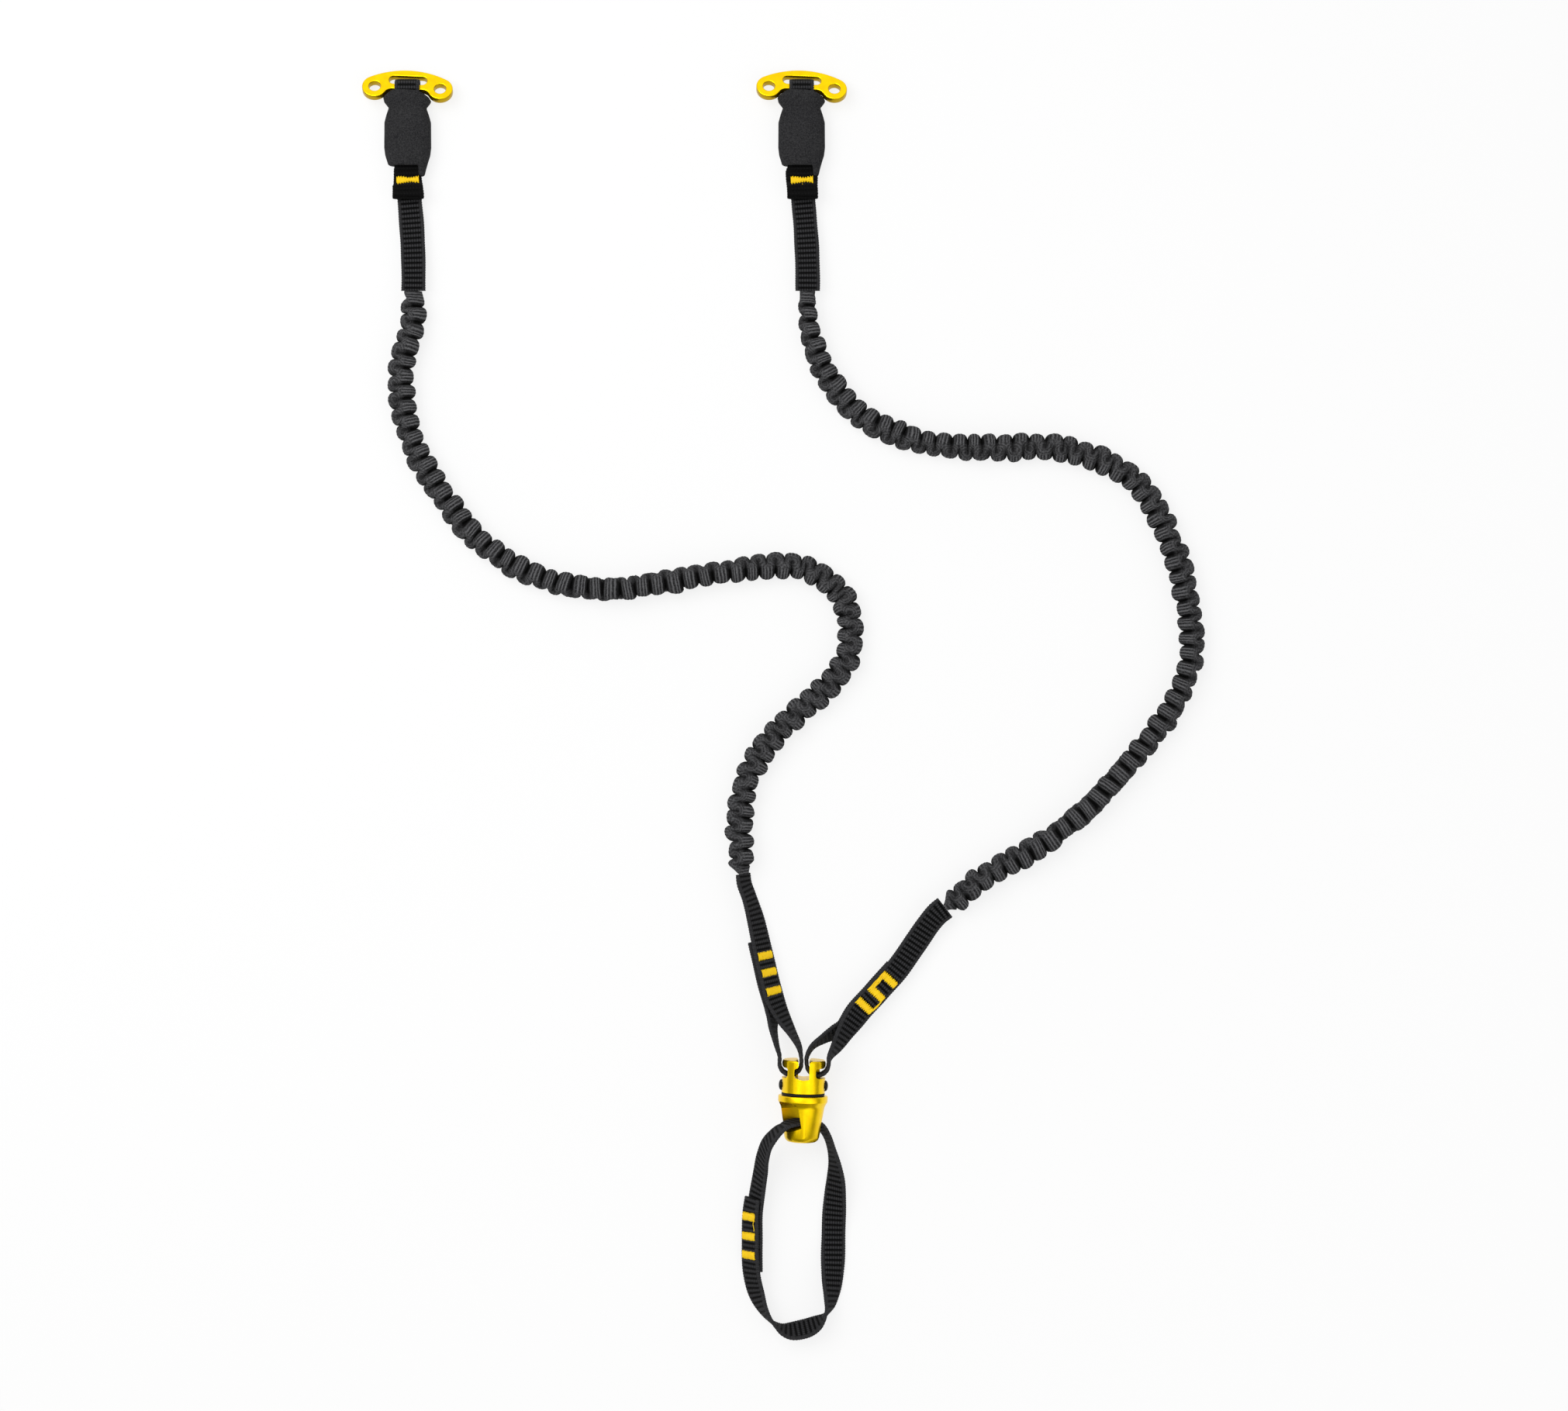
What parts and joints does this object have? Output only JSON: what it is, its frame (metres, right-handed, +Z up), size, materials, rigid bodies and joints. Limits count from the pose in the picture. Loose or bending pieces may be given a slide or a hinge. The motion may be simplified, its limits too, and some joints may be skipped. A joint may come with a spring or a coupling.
{
  "type": "ice axe spring leash",
  "caption": "Gathered elastic webbing arms on a turning metal swivel, each ending in a padded strap round a slotted metal plate for an axe, with a sewn tie-in loop below.",
  "frame": {"origin": "on the floor, under the middle of the box round everything but the gathered tubes", "axes": "+X to the right, +Y from the tie-in loop to the axe plates, +Z up from the surface that it lies on"},
  "size_m": [0.4354, 0.6554, 0.0255],
  "materials": {
    "anodised": "satin yellow anodising",
    "webbing": "ribbed black polyamide webbing",
    "gathered": "soft tubular webbing in gathers",
    "elastic": "braided elastic",
    "foam": "speckled closed-cell foam",
    "thread": "bright satin stitching",
    "steel": "blackened",
    "seal": "smooth black rubber"
  },
  "bodies": {
    "head": {"swivel_head": "anodised", "swivel_axle": "steel", "cross_rivet": "steel", "seal_ring": "seal"},
    "yoke": {"swivel_yoke": "anodised", "thrust_washer": "steel"},
    "tie_in": {"tie_in_loop": "webbing", "loop_tack_1": "thread", "loop_tack_2": "thread", "loop_tack_3": "thread"},
    "left_arm": {"left_lower_tape": "webbing", "left_lower_tack_1": "thread", "left_lower_tack_2": "thread", "left_lower_tack_3": "thread", "left_elastic_tube": "gathered", "left_elastic_core": "elastic"},
    "left_end": {"left_upper_tape": "webbing", "left_upper_tack": "thread", "left_foam_sleeve": "foam"},
    "left_plate": {"left_end_plate": "anodised"},
    "right_arm": {"right_lower_tape": "webbing", "right_lower_tack_1": "thread", "right_lower_tack_2": "thread", "right_lower_tack_3": "thread", "right_elastic_tube": "gathered", "right_elastic_core": "elastic"},
    "right_end": {"right_upper_tape": "webbing", "right_upper_tack": "thread", "right_foam_sleeve": "foam"},
    "right_plate": {"right_end_plate": "anodised"}
  },
  "joints": [
    {"name": "yoke_spin", "type": "hinge", "parent": "head", "child": "yoke", "pos_m": [0.07619, -0.20059, 0.01285], "axis": [0.0314, 0.9995, 0], "continuous": true},
    {"name": "tie_in_swing", "type": "hinge", "parent": "yoke", "child": "tie_in", "pos_m": [0.0753, -0.22878, 0.01285], "axis": [0.6015, -0.0189, 0.7986], "range_deg": [-15, 12]},
    {"name": "left_arm_swing", "type": "hinge", "parent": "head", "child": "left_arm", "pos_m": [0.0697, -0.18398, 0.01285], "axis": [0, 0, 1], "range_deg": [-3, 70]},
    {"name": "left_stretch", "type": "slide", "parent": "left_arm", "child": "left_end", "axis": [0, 1, 0], "range_m": [0, 0.45], "stiffness_N_per_m": 40, "deforming": ["left_elastic_tube", "left_elastic_core"]},
    {"name": "left_plate_tilt", "type": "hinge", "parent": "left_end", "child": "left_plate", "pos_m": [-0.1279, 0.3185, 0.0064], "axis": [0.999, -0.0436, 0], "range_deg": [-8, 52]},
    {"name": "right_arm_swing", "type": "hinge", "parent": "head", "child": "right_arm", "pos_m": [0.0837, -0.18442, 0.01285], "axis": [0, 0, 1], "range_deg": [-70, 3]},
    {"name": "right_stretch", "type": "slide", "parent": "right_arm", "child": "right_end", "axis": [0, 1, 0], "range_m": [0, 0.45], "stiffness_N_per_m": 40, "deforming": ["right_elastic_tube", "right_elastic_core"]},
    {"name": "right_plate_tilt", "type": "hinge", "parent": "right_end", "child": "right_plate", "pos_m": [0.0755, 0.3185, 0.0064], "axis": [0.999, -0.0436, 0], "range_deg": [-8, 52]}
  ]
}
